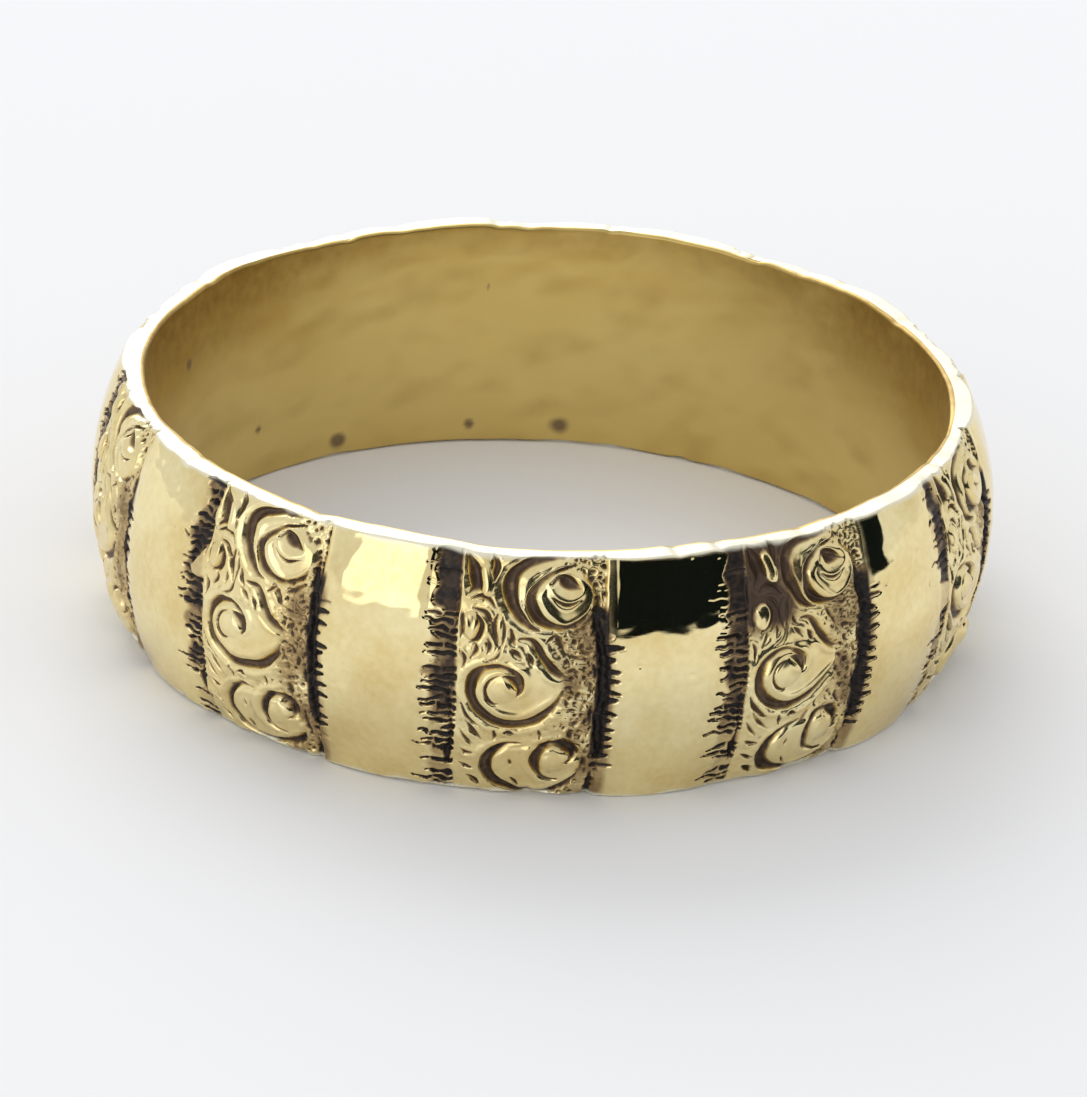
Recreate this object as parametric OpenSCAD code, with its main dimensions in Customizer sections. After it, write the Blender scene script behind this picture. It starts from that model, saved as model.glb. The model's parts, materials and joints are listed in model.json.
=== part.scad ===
// Domed wedding band of gold-filled stock: a chased gold shell and a thin gold lining
// bonded over a brass core. Z is the finger axis, and the lower rim lies on z = 0.

/* [Band] */
// Diameter of the finger hole
bore_d = 17.3; // [14:0.1:22]
// Width of the band along the finger
band_w = 5.45; // [4:0.05:8]
// Wall from the finger hole to the outer edge of a rim
rim_wall = 0.49; // [0.45:0.01:0.8]
// Height of the dome above the rims' outer edge
crown = 0.63; // [0.4:0.01:1]
// Bevel on the outer edge of each rim
rim_bevel = 0.06; // [0.02:0.01:0.1]

/* [Layers] */
// Thickness of the outer gold shell under the dome
shell_t = 0.3; // [0.24:0.01:0.36]
// Thickness of the shell's lips, turned over the core at both rims
lip_t = 0.2; // [0.1:0.01:0.4]
// Thickness of the inner gold lining
lining_t = 0.1; // [0.08:0.01:0.13]
// Round on the lining's two finger edges
lining_edge = 0.08; // [0.02:0.01:0.08]

/* [Chased panels] */
// Number of chased panels, with a burnished plain panel after each
panels = 10; // [6:1:12]
// Width of one panel's scroll field, measured on the crest of the dome
field_w = 2.8; // [2:0.05:3.4]
// Depth of the ground between the scrolls
ground_depth = 0.06; // [0.03:0.01:0.1]
// Plain edge left between the chasing and each rim
rim_land = 0.12; // [0.05:0.01:0.3]

/* [Borders] */
// Length of the stacked cuts on the left of a field
ladder_w = 0.62; // [0.3:0.01:0.8]
// Distance from one stacked cut to the next
ladder_pitch = 0.44; // [0.36:0.01:0.8]
// Length of the comb teeth on the right of a field
tooth_w = 0.26; // [0.1:0.01:0.5]
// Distance from one tooth to the next
tooth_pitch = 0.36; // [0.3:0.01:0.8]
// Width of the two upright lines beside a field
line_w = 0.15; // [0.08:0.01:0.25]
// Depth of the upright lines
line_depth = 0.16; // [0.08:0.01:0.2]
// Depth of the stacked cuts and of the teeth
cut_depth = 0.1; // [0.04:0.01:0.16]

/* [Scrolls] */
// Diameter of one scroll's raised disc
scroll_d = 1.5; // [1:0.05:1.8]
// Gap between one scroll and the next up the field
scroll_gap = 0.16; // [0.05:0.01:0.5]
// Sideways step of the scrolls, to the right and left in turn
scroll_sway = 0.38; // [0:0.01:0.6]
// Width of the spiral groove in a scroll
groove_w = 0.15; // [0.08:0.01:0.2]
// Depth of the spiral groove
groove_depth = 0.18; // [0.08:0.01:0.2]
// Half turns in a spiral
half_turns = 3; // [2:1:4]

/* [Hidden] */

$fn = 144;
bore_r = bore_d / 2;
lining_r = bore_r + lining_t;          // where the lining meets the core and the lips
rim_r = bore_r + rim_wall;
crest_r = rim_r + crown;
mid_z = band_w / 2;

// The dome is one arc through both rims' outer edges and the crest.
dome_r = (mid_z * mid_z + crown * crown) / (2 * crown);
arc_r = crest_r - dome_r;              // distance of the arc's centre from the finger axis

chase_low = rim_land;
chase_h = band_w - 2 * rim_land;
above = 0.5;                           // how far a cutter stands clear of the dome
groove_step = (scroll_d / 2 - groove_w) / (half_turns + 1);
scroll_rise = scroll_d + scroll_gap;
scrolls = floor((chase_h + scroll_gap) / scroll_rise);
scroll_low = mid_z - (scrolls - 1) * scroll_rise / 2;
gold = [0.86, 0.72, 0.38];

function around(length) = length / crest_r * 180 / PI;
function dome_at(z) = arc_r + sqrt(dome_r * dome_r - pow(z - mid_z, 2));
function sway(i) = i % 2 == 0 ? scroll_sway : -scroll_sway;

// The dome's cross-section, drawn inward by inset and cut off level at both ends.
module dome_section(inset, from_r, end_inset) {
    intersection() {
        translate([arc_r, mid_z]) circle(r = dome_r - inset);
        translate([from_r, end_inset])
            square([crest_r - from_r + above, band_w - 2 * end_inset]);
    }
}

// One stretch of the dome's skin, start and length in millimetres along the crest.
module skin_cut(start, length, depth) {
    rotate([0, 0, around(start)])
        rotate_extrude(angle = around(length))
            difference() {
                translate([rim_r - line_depth - above, chase_low])
                    square([crown + line_depth + 2 * above, chase_h]);
                translate([arc_r, mid_z]) circle(r = dome_r - depth);
            }
}

// A column of level cuts beside an upright line: half of each pitch is cut. The cuts run
// from the middle of the line, which is deeper, to length beyond it, on side -1 or 1.
module cut_column(line_at, side, length, pitch) {
    count = floor(chase_h / pitch);
    first = mid_z - (count - 0.5) * pitch / 2;
    reach = line_w / 2 + length;
    rotate([0, 0, around(line_at)])
        for (i = [0 : count - 1]) {
            z = first + i * pitch;
            floor_r = dome_at(z + pitch / 4) - cut_depth;
            translate([floor_r, side < 0 ? -reach : 0, z])
                cube([cut_depth + above, reach, pitch / 2]);
        }
}

// Puts its children on the dome, with their Z pointing straight out of the surface.
module on_dome(length, z) {
    rotate([0, 0, around(length)])
        translate([arc_r, 0, mid_z])
            rotate([0, 90 - asin((z - mid_z) / dome_r), 0])
                translate([0, 0, dome_r]) children();
}

module at_scrolls() {
    for (i = [0 : scrolls - 1])
        on_dome(sway(i), scroll_low + i * scroll_rise) rotate([0, 0, 180 * i]) children();
}

// A spiral of half rings: each half turn is one step smaller and starts where the last ended.
module spiral_groove() {
    for (k = [0 : half_turns - 1]) {
        r = scroll_d / 2 - groove_w / 2 - k * groove_step;
        shift = k % 2 == 0 ? 0 : groove_step;
        translate([0, shift, -groove_depth])
            rotate([0, 0, k % 2 == 0 ? -90 : 90])
                rotate_extrude(angle = 180, $fn = 48)
                    translate([r - groove_w / 2, 0])
                        square([groove_w, groove_depth + above]);
    }
}

module chased_panel() {
    left = -field_w / 2 - line_w;
    right = field_w / 2;
    difference() {
        skin_cut(-field_w / 2, field_w, ground_depth);
        at_scrolls()
            translate([0, 0, -above])
                cylinder(d = scroll_d - groove_w, h = 2 * above, $fn = 48);
    }
    at_scrolls() spiral_groove();
    skin_cut(left, line_w, line_depth);
    skin_cut(right, line_w, line_depth);
    cut_column(left + line_w / 2, -1, ladder_w, ladder_pitch);
    cut_column(right + line_w / 2, 1, tooth_w, tooth_pitch);
}

module outer_gold_shell() {
    color(gold)
        difference() {
            rotate_extrude()
                difference() {
                    dome_section(0, lining_r, 0);
                    dome_section(shell_t, lining_r, lip_t);
                    for (z = [0, band_w])
                        translate([rim_r, z])
                            rotate(45) square(rim_bevel * sqrt(2), center = true);
                }
            for (i = [0 : panels - 1])
                rotate([0, 0, i * 360 / panels - 90]) chased_panel();
        }
}

module brass_core() {
    color([0.72, 0.58, 0.32])
        rotate_extrude() dome_section(shell_t, lining_r, lip_t);
}

// A thin plate with its two finger edges rounded. It never reaches past lining_r, where the
// lips and the core begin.
module inner_gold_lining() {
    color([0.8, 0.66, 0.34])
        rotate_extrude()
            intersection() {
                translate([bore_r, 0]) square([lining_t, band_w]);
                union() {
                    translate([bore_r, lining_edge])
                        square([lining_t, band_w - 2 * lining_edge]);
                    translate([bore_r + lining_edge, 0]) square([lining_t, band_w]);
                    for (z = [lining_edge, band_w - lining_edge])
                        translate([bore_r + lining_edge, z])
                            circle(r = lining_edge, $fn = 32);
                }
            }
}

outer_gold_shell();
brass_core();
inner_gold_lining();
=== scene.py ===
import json
import math

import bpy
import numpy as np
from mathutils import Matrix, Vector


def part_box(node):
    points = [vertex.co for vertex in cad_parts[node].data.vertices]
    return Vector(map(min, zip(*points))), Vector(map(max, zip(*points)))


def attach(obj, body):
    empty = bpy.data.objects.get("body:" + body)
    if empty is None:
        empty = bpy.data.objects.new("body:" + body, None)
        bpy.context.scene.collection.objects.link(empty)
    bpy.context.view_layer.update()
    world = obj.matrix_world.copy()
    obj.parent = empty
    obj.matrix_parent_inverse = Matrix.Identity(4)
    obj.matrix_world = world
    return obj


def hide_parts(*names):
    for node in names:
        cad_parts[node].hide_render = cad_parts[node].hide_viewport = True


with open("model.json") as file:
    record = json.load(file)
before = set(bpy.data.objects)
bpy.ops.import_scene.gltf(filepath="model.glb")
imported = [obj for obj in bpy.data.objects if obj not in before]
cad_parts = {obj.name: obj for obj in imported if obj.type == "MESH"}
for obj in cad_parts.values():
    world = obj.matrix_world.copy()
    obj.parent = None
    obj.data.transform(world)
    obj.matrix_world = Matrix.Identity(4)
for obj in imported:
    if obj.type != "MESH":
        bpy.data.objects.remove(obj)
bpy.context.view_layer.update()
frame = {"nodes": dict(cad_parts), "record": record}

MM = 0.001

# ---------------------------------------------------------------- sizes, in millimetres
_, shell_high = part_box("outer_gold_shell")
core_low, core_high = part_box("brass_core")
_, lining_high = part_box("inner_gold_lining")
finger_bore = next(m for m in frame["record"]["mounts"] if m["name"] == "finger_bore")

BAND_W = shell_high.z / MM
CREST_R = shell_high.x / MM
BORE_R = finger_bore["dims"]["r_mm"]
LINING_R = lining_high.x / MM
SHELL_T = (shell_high.x - core_high.x) / MM
LIP_T = core_low.z / MM
RIM_WALL = 0.49           # wall from the finger hole to the outer edge of a rim
RIM_ROUND = 0.06          # round on the outer edge of a rim
FINGER_ROUND = 0.07       # round on the finger edge of a rim

RIM_R = BORE_R + RIM_WALL
CROWN = CREST_R - RIM_R
MID_Z = BAND_W / 2
DOME_R = (MID_Z ** 2 + CROWN ** 2) / (2 * CROWN)
ARC_R = CREST_R - DOME_R  # distance of the dome arc's centre from the finger axis

PANELS = 10
FACETED = (0, 1)          # panels whose ladder ends in a plain facet at the top
PITCH = 2 * math.pi * CREST_R / PANELS
DEGREE = math.pi * CREST_R / 180      # one degree round the band, along the crest
CHASED_START = -2.55      # a chased panel's ends, along the crest from its own middle
CHASED_END = 2.0

# Borders of a chased panel, along the crest
LADDER_OUT = -2.22
LADDER_IN = -1.56
FIELD_IN = -1.58
FIELD_OUT = 1.50
TOOTH_END = 1.76
PLAIN_START = 1.70
PLAIN_END = PITCH + LADDER_OUT

# Cuts of the borders
RUNG_PITCH = 0.17         # the ladder's stacked cuts
RUNG_DEPTH = 0.085
LADDER_DEPTH = 0.045      # the column that the rungs are cut in
FACET_FROM = 4.1          # height at which a faceted ladder turns plain
STEP_AT = 5.02            # height of the small step across a ladder
STEP_DEPTH = 0.05
TOOTH_PITCH = 0.235       # the comb's teeth
TOOTH_DEPTH = 0.10
SHOULDER_DEPTH = 0.02     # the pressed edge that the comb stands on
GROOVE_AT = 8.45          # upright groove beside the comb, degrees from the panel's middle

# Depths of the chasing
GROUND = 0.05             # ground of the scroll field
DEPTH_PER_WIDTH = 0.95    # a graver's cut is this many times as deep as half its width
DEEPEST = 0.15            # and never deeper than this
PILLOW = 0.05             # how far a chased panel and a plain one's ends lie below the dome
SOFT_FLOOR = 0.14         # depths beyond this are eased off towards the next one, so that
HARD_FLOOR = 0.22         # no cut gets through the shell once PILLOW and the wear are added

# Mesh density: the fine surface has FINE steps for each step of the hidden one
FINE = 8
RIM_ROWS = 12
ROUND_ROWS = 4
DOME_ROWS = 256
CHASED_COLUMNS = 192
PLAIN_COLUMNS = 40
DOME_STEP = BAND_W / DOME_ROWS


# ---------------------------------------------------------------- small maths
def smoothstep(low, high, x):
    """0 below low, 1 above high, and an even S between them."""
    t = np.clip((x - low) / (high - low), 0, 1)
    return t * t * (3 - 2 * t)


def ripples(points, wavelength, seed, waves=14):
    """A smooth random height of about -1 to 1: the sum of sine waves that cross the points in
    random directions, each within a third of the wavelength given."""
    draw = np.random.default_rng(seed)
    towards = draw.normal(size=(waves, 3))
    towards /= np.linalg.norm(towards, axis=1, keepdims=True)
    numbers = 2 * np.pi / (wavelength * draw.uniform(0.7, 1.35, waves))
    phases = draw.uniform(0, 2 * np.pi, waves)
    total = np.zeros(points.shape[:-1])
    for direction, number, phase in zip(towards, numbers, phases):
        total += np.sin(points @ direction * number + phase)
    return total / math.sqrt(waves)


def punch_marks(u, v, spacing, radius, seed):
    """Round pits at the jittered corners of a square grid: each point takes (1 - (d/r)^2)^2
    of its nearest mark, at distance d, with marks of radius r."""
    draw = np.random.default_rng(seed)
    size = 80
    jitter = draw.uniform(-0.42, 0.42, (size, size, 2))
    radii = radius * draw.uniform(0.6, 1.25, (size, size))
    column, row = np.floor(u / spacing), np.floor(v / spacing)
    deepest = np.zeros_like(u)
    for i in (-1, 0, 1):
        for j in (-1, 0, 1):
            a, b = (column + i).astype(int) % size, (row + j).astype(int) % size
            du = u - (column + i + 0.5 + jitter[a, b, 0]) * spacing
            dv = v - (row + j + 0.5 + jitter[a, b, 1]) * spacing
            share = np.clip(1 - (du ** 2 + dv ** 2) / radii[a, b] ** 2, 0, 1)
            deepest = np.maximum(deepest, share ** 2)
    return deepest


def smooth_path(points, steps=9):
    """A Catmull-Rom curve through the points given, with steps samples between each pair."""
    p = np.array(points, float)
    p = np.vstack([2 * p[0] - p[1], p, 2 * p[-1] - p[-2]])
    t = np.linspace(0, 1, steps, endpoint=False)[:, None, None]
    a, b, c, d = p[:-3], p[1:-2], p[2:-1], p[3:]
    curve = 0.5 * (2 * b + (c - a) * t + (2 * a - 5 * b + 4 * c - d) * t ** 2
                   + (3 * b - a - 3 * c + d) * t ** 3)
    return np.vstack([curve.transpose(1, 0, 2).reshape(-1, p.shape[1]), p[-2]])


# ---------------------------------------------------------------- the chaser's strokes
# Each stroke is a list of (degrees round from the panel's middle, millimetres up the band,
# half width in millimetres), from end to end.
TOP_SCROLL = [
    [(4.0, 5.45, 0.03), (1.0, 5.40, 0.09), (-1.6, 5.26, 0.13), (-3.0, 5.02, 0.17),
     (-3.1, 4.72, 0.17), (-2.5, 4.44, 0.14), (-1.6, 4.20, 0.12), (-0.6, 4.06, 0.08),
     (0.6, 3.99, 0.02)],
    [(5.0, 5.32, 0.02), (2.6, 5.20, 0.05), (0.6, 4.98, 0.08), (-0.5, 4.72, 0.10),
     (-0.4, 4.44, 0.13), (0.5, 4.22, 0.14), (2.0, 4.08, 0.10), (3.8, 4.04, 0.06),
     (5.4, 4.16, 0.05), (6.6, 4.36, 0.04), (7.0, 4.55, 0.01)],
    [(1.9, 4.95, 0.03), (2.7, 5.05, 0.10), (3.6, 4.97, 0.17), (4.6, 4.90, 0.10),
     (5.4, 4.86, 0.02)],
    [(1.8, 4.72, 0.01), (2.8, 4.60, 0.04), (4.0, 4.56, 0.05), (5.6, 4.66, 0.01)],
]
MIDDLE_SCROLL = [
    [(3.8, 2.66, 0.03), (3.2, 2.42, 0.08), (2.0, 2.20, 0.11), (0.5, 2.02, 0.12),
     (-1.5, 1.92, 0.13), (-3.4, 1.92, 0.14), (-5.2, 2.06, 0.14), (-6.6, 2.28, 0.14),
     (-7.4, 2.58, 0.13), (-7.2, 2.88, 0.12), (-6.2, 3.10, 0.09), (-4.8, 3.20, 0.06),
     (-3.4, 3.20, 0.05), (-2.2, 3.12, 0.08), (-1.4, 2.96, 0.10), (-1.2, 2.76, 0.07),
     (-1.5, 2.60, 0.02)],
    [(-3.4, 3.05, 0.02), (-2.6, 3.01, 0.07), (-1.8, 2.92, 0.11), (-1.3, 2.74, 0.06)],
    [(-4.0, 3.04, 0.01), (-5.2, 2.90, 0.035), (-5.6, 2.70, 0.04), (-5.2, 2.50, 0.04),
     (-4.4, 2.40, 0.03), (-3.5, 2.42, 0.01)],
    [(-1.8, 3.80, 0.03), (-0.4, 3.77, 0.07), (0.6, 3.60, 0.10), (1.4, 3.36, 0.10),
     (2.4, 3.14, 0.10), (3.4, 3.00, 0.07), (4.8, 2.95, 0.02)],
    [(-2.8, 3.98, 0.03), (-2.6, 3.80, 0.06), (-2.2, 3.66, 0.02)],
]
LOWER_SCROLL = [
    [(-0.8, 1.43, 0.02), (-2.5, 1.38, 0.05), (-4.0, 1.20, 0.09), (-4.9, 0.94, 0.13),
     (-5.1, 0.64, 0.16), (-4.2, 0.36, 0.17), (-2.8, 0.20, 0.13), (-0.5, 0.10, 0.09),
     (2.0, 0.12, 0.09), (4.0, 0.22, 0.11), (5.4, 0.42, 0.10), (6.2, 0.62, 0.03)],
    [(3.9, 0.52, 0.02), (2.6, 0.53, 0.05), (1.4, 0.66, 0.08), (0.8, 0.92, 0.12),
     (1.0, 1.20, 0.12), (2.0, 1.41, 0.09), (3.3, 1.46, 0.08), (4.7, 1.38, 0.13),
     (5.4, 1.22, 0.13), (5.2, 1.04, 0.06), (4.4, 0.96, 0.02)],
    [(-7.4, 0.38, 0.02), (-6.6, 0.30, 0.09), (-6.0, 0.18, 0.03)],
    [(-2.3, 1.05, 0.01), (-2.2, 0.92, 0.05), (-2.2, 0.82, 0.01)],
    [(-2.1, 0.52, 0.01), (-1.6, 0.42, 0.04), (-1.1, 0.30, 0.01)],
]
LEAVES = [
    [(-8.6, 5.38, 0.04), (-7.8, 5.12, 0.15), (-7.2, 4.84, 0.14), (-8.0, 4.66, 0.03)],
    [(-5.6, 5.46, 0.03), (-5.0, 5.24, 0.08), (-5.1, 4.96, 0.02)],
    [(-7.8, 4.54, 0.01), (-6.5, 4.62, 0.06), (-5.3, 4.55, 0.05), (-4.5, 4.38, 0.01)],
    [(-7.2, 4.36, 0.02), (-5.8, 4.29, 0.06), (-5.0, 4.10, 0.05), (-4.3, 4.04, 0.01)],
    [(-4.3, 4.28, 0.02), (-4.7, 4.02, 0.07), (-4.3, 3.76, 0.04), (-3.9, 3.54, 0.01)],
    [(-6.8, 4.30, 0.01), (-6.1, 4.06, 0.06), (-6.5, 3.78, 0.07), (-7.5, 3.66, 0.02)],
    [(-3.8, 4.32, 0.01), (-3.5, 4.00, 0.04), (-3.8, 3.64, 0.03), (-4.4, 3.40, 0.04),
     (-5.8, 3.30, 0.01)],
    [(-5.3, 3.76, 0.02), (-5.1, 3.62, 0.05), (-5.4, 3.46, 0.01)],
    [(-6.8, 3.70, 0.02), (-6.7, 3.52, 0.06), (-7.4, 3.34, 0.02)],
    [(-8.6, 4.30, 0.01), (-8.4, 4.00, 0.06), (-8.6, 3.70, 0.01)],
    [(-8.8, 3.50, 0.01), (-8.2, 3.30, 0.05), (-8.4, 3.05, 0.01)],
    [(-2.6, 3.60, 0.03), (-1.9, 3.50, 0.06), (-1.2, 3.38, 0.01)],
    [(-0.7, 3.52, 0.02), (-0.2, 3.40, 0.06), (0.1, 3.24, 0.01)],
    [(-8.6, 2.34, 0.01), (-7.9, 2.06, 0.06), (-7.0, 1.86, 0.06), (-6.0, 1.74, 0.01)],
    [(-8.0, 1.92, 0.01), (-7.0, 1.66, 0.06), (-5.5, 1.40, 0.02)],
    [(-8.6, 1.64, 0.02), (-7.6, 1.40, 0.05), (-6.6, 1.24, 0.01)],
    [(-8.4, 1.16, 0.01), (-7.4, 1.05, 0.06), (-6.4, 1.06, 0.01)],
    [(-8.3, 0.76, 0.02), (-7.3, 0.66, 0.05), (-6.6, 0.64, 0.01)],
    [(-4.2, 1.70, 0.03), (-4.0, 1.56, 0.05), (-4.1, 1.44, 0.01)],
    [(-2.9, 1.66, 0.02), (-2.2, 1.67, 0.06), (-1.5, 1.62, 0.01)],
    [(1.3, 1.80, 0.02), (1.4, 1.68, 0.05), (1.5, 1.58, 0.01)],
    [(2.2, 3.98, 0.03), (2.9, 3.80, 0.07), (3.6, 3.58, 0.05), (4.4, 3.24, 0.02)],
    [(1.6, 3.76, 0.03), (2.4, 3.86, 0.06), (3.3, 3.84, 0.02)],
    [(3.9, 3.52, 0.02), (5.0, 3.42, 0.07), (6.4, 3.38, 0.04), (7.4, 3.44, 0.01)],
    [(5.6, 3.80, 0.01), (5.9, 3.58, 0.05), (6.8, 3.50, 0.05), (7.5, 3.66, 0.01)],
    [(4.2, 4.00, 0.02), (5.0, 3.90, 0.06), (5.8, 4.00, 0.04), (7.0, 4.16, 0.02)],
    [(4.9, 3.16, 0.03), (5.2, 3.08, 0.06), (5.5, 3.02, 0.02)],
    [(3.8, 2.74, 0.01), (4.6, 2.73, 0.05), (5.0, 2.60, 0.02)],
    [(5.2, 2.64, 0.03), (5.6, 2.58, 0.08), (5.9, 2.50, 0.02)],
    [(6.2, 2.56, 0.02), (6.4, 2.42, 0.06), (6.2, 2.30, 0.02)],
    [(4.0, 2.50, 0.02), (4.3, 2.40, 0.05), (4.6, 2.32, 0.01)],
    [(5.0, 1.96, 0.04), (5.6, 1.96, 0.06), (6.3, 2.00, 0.01)],
    [(4.8, 1.82, 0.03), (5.0, 1.70, 0.07), (5.3, 1.56, 0.02)],
    [(6.1, 1.78, 0.02), (6.4, 1.68, 0.05), (6.2, 1.56, 0.02)],
    [(4.2, 2.20, 0.01), (4.8, 2.24, 0.04), (5.6, 2.20, 0.01)],
    [(6.6, 2.96, 0.03), (7.0, 2.84, 0.07), (7.3, 2.66, 0.03)],
    [(6.9, 1.30, 0.02), (6.9, 0.90, 0.07), (7.4, 0.60, 0.02)],
]
BORDER_LINES = [
    [(-9.9, 2.80, 0.02), (-9.8, 2.30, 0.04), (-9.6, 1.70, 0.05), (-9.6, 1.30, 0.06),
     (-9.9, 1.02, 0.11), (-9.8, 0.66, 0.04)],
    [(-9.4, 5.44, 0.02), (-9.2, 4.90, 0.03), (-9.1, 4.30, 0.05), (-9.3, 3.90, 0.03)],
    [(7.9, 4.72, 0.02), (7.8, 4.36, 0.08), (7.8, 4.10, 0.11), (8.1, 3.88, 0.10),
     (8.5, 3.60, 0.10), (8.7, 3.30, 0.11), (8.4, 3.08, 0.11), (8.6, 2.78, 0.13),
     (8.8, 2.50, 0.12), (8.3, 2.28, 0.08), (8.0, 2.04, 0.09), (8.5, 1.76, 0.11),
     (8.6, 1.50, 0.11), (8.7, 1.26, 0.08), (8.5, 1.00, 0.04)],
    [(7.2, 2.40, 0.02), (7.3, 2.10, 0.07), (7.5, 1.82, 0.03)],
    [(7.2, 3.34, 0.02), (7.5, 3.14, 0.07), (7.4, 2.90, 0.03)],
    [(8.1, 0.66, 0.02), (8.0, 0.30, 0.08), (7.9, 0.02, 0.10)],
]
# Raised discs of the scrolls and their bosses: middle, half axes in millimetres, lean to
# the right as they rise, and how far each swells above the field
DISCS = [
    ((3.2, 4.66), (0.72, 0.56), 0.0, 0.04),
    ((-1.8, 2.62), (0.96, 0.66), 0.25, 0.02),
    ((0.7, 0.80), (0.98, 0.58), 0.1, 0.02),
    ((-3.5, 2.72), (0.34, 0.30), 0.0, 0.05),
    ((3.0, 0.98), (0.30, 0.26), 0.0, 0.06),
    ((-7.4, 4.00), (0.20, 0.28), 0.0, 0.05),
    ((-6.0, 4.95), (0.16, 0.34), -0.2, 0.04),
]

# Tarnish spots on the finger side: degrees round from the front, height, radius
INSIDE_SPOTS = [(178, 0.42, 0.24), (192, 0.42, 0.12), (213.5, 0.36, 0.24), (247, 3.8, 0.18),
                (229, 1.25, 0.10), (190, 3.9, 0.06), (300, 0.9, 0.15), (40, 1.3, 0.16),
                (75, 4.4, 0.12), (345, 3.7, 0.12)]


def engrave(u, v, strokes):
    """The depth cut at each point and the burr thrown up beside the cuts. Across a stroke of
    half width w the cut is w * DEPTH_PER_WIDTH * (1 - (d/w)^2)^1.3, at distance d from its
    line, and the metal is thrown up beside it in a low rounded ridge."""
    cut = np.zeros_like(u)
    burr = np.zeros_like(u)
    for points in strokes:
        path = smooth_path(points)
        path[:, 0] *= DEGREE
        reach = 3 * path[:, 2].max()
        low, high = path[:, :2].min(0) - reach, path[:, :2].max(0) + reach
        near = (u > low[0]) & (u < high[0]) & (v > low[1]) & (v < high[1])
        if not near.any():
            continue
        place = np.stack([u[near], v[near]], -1)[:, None]
        start, step = path[:-1, :2], np.diff(path[:, :2], axis=0)
        share = np.clip(((place - start) * step).sum(-1) / (step ** 2).sum(-1), 0, 1)
        away = np.linalg.norm(place - start - share[..., None] * step, axis=-1)
        width = path[:-1, 2] + share * np.diff(path[:, 2])
        ratio = away / np.maximum(width, 0.008)
        best = ratio.argmin(1)
        ratio = ratio[np.arange(len(best)), best]
        width = width[np.arange(len(best)), best]
        depth = np.minimum(width * DEPTH_PER_WIDTH, DEEPEST)
        cut[near] = np.maximum(cut[near], depth * np.clip(1 - ratio ** 2, 0, 1) ** 1.3)
        edge = 0.34 * depth * np.exp(-((ratio - 1.8) / 0.65) ** 2)
        burr[near] = np.maximum(burr[near], edge)
    return cut, burr


def disc_share(u, v):
    """1 on the raised discs and 0 on the ground, and the swell of the discs at each point:
    a bowl turned over, (1 - r^2), of the height given for each."""
    share = np.zeros_like(u)
    swell = np.zeros_like(u)
    for (degrees, middle_v), (half_u, half_v), lean, rise in DISCS:
        du, dv = u - degrees * DEGREE - lean * (v - middle_v), v - middle_v
        out = (du / half_u) ** 2 + (dv / half_v) ** 2
        share = np.maximum(share, 1 - smoothstep(0.75, 1.15, out))
        swell += rise * np.clip(1 - out, 0, 1)
    return share, swell


def stacked_cuts(u, v, near_end, far_end, pitch, seed, ragged, gaps, bridged=0.7):
    """Level cuts one above the other that narrow from near_end to about far_end: each has
    its own length, depth and slope, and a share of gaps are nearly missing."""
    draw = np.random.default_rng(seed)
    count = int(BAND_W / pitch) + 3
    ends = far_end + draw.normal(0, ragged, count)
    depths = draw.uniform(0.55, 1.0, count) * np.where(draw.random(count) < gaps, 0.2, 1)
    slopes = draw.normal(0, 0.16, count)
    bridges = draw.uniform(min(near_end, far_end), max(near_end, far_end), count)
    widths = draw.uniform(0.34, 0.5, count)
    turns = v / pitch
    row = np.clip(np.floor(turns), 0, count - 1).astype(int)
    across = turns - row - 0.5 + slopes[row] * (u - near_end) / abs(far_end - near_end)
    towards = np.sign(far_end - near_end)
    taper = 1 - 0.6 * np.clip((u - near_end) / (ends[row] - near_end), 0, 1) ** 2
    profile = np.clip(1 - (across / (widths[row] * taper)) ** 2, 0, 1)
    length = smoothstep(-0.04, 0.03, (ends[row] - u) * towards)
    length *= smoothstep(-0.03, 0.03, (u - near_end) * towards)
    bridge = bridged * np.exp(-((u - bridges[row]) / 0.04) ** 2)
    return profile * length * depths[row] * (1 - bridge)


def soften(height, reach):
    """The mean height round each point: three passes of a running mean, which takes in
    reach points each way along the two axes."""
    for _ in range(3):
        for axis, cells in enumerate(reach):
            pad = [(0, 0), (0, 0)]
            pad[axis] = (cells + 1, cells)
            total = np.pad(height, pad, mode="edge").cumsum(axis)
            at = np.arange(height.shape[axis])
            height = total.take(at + 2 * cells + 1, axis) - total.take(at, axis)
            height /= 2 * cells + 1
    return height


def ease_off(height):
    """The height with its deep end eased: below -SOFT_FLOOR it nears -HARD_FLOOR along a
    tanh curve and never passes it."""
    room = HARD_FLOOR - SOFT_FLOOR
    eased = -SOFT_FLOOR - room * np.tanh((-height - SOFT_FLOOR) / room)
    return np.where(height < -SOFT_FLOOR, eased, height)


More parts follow.
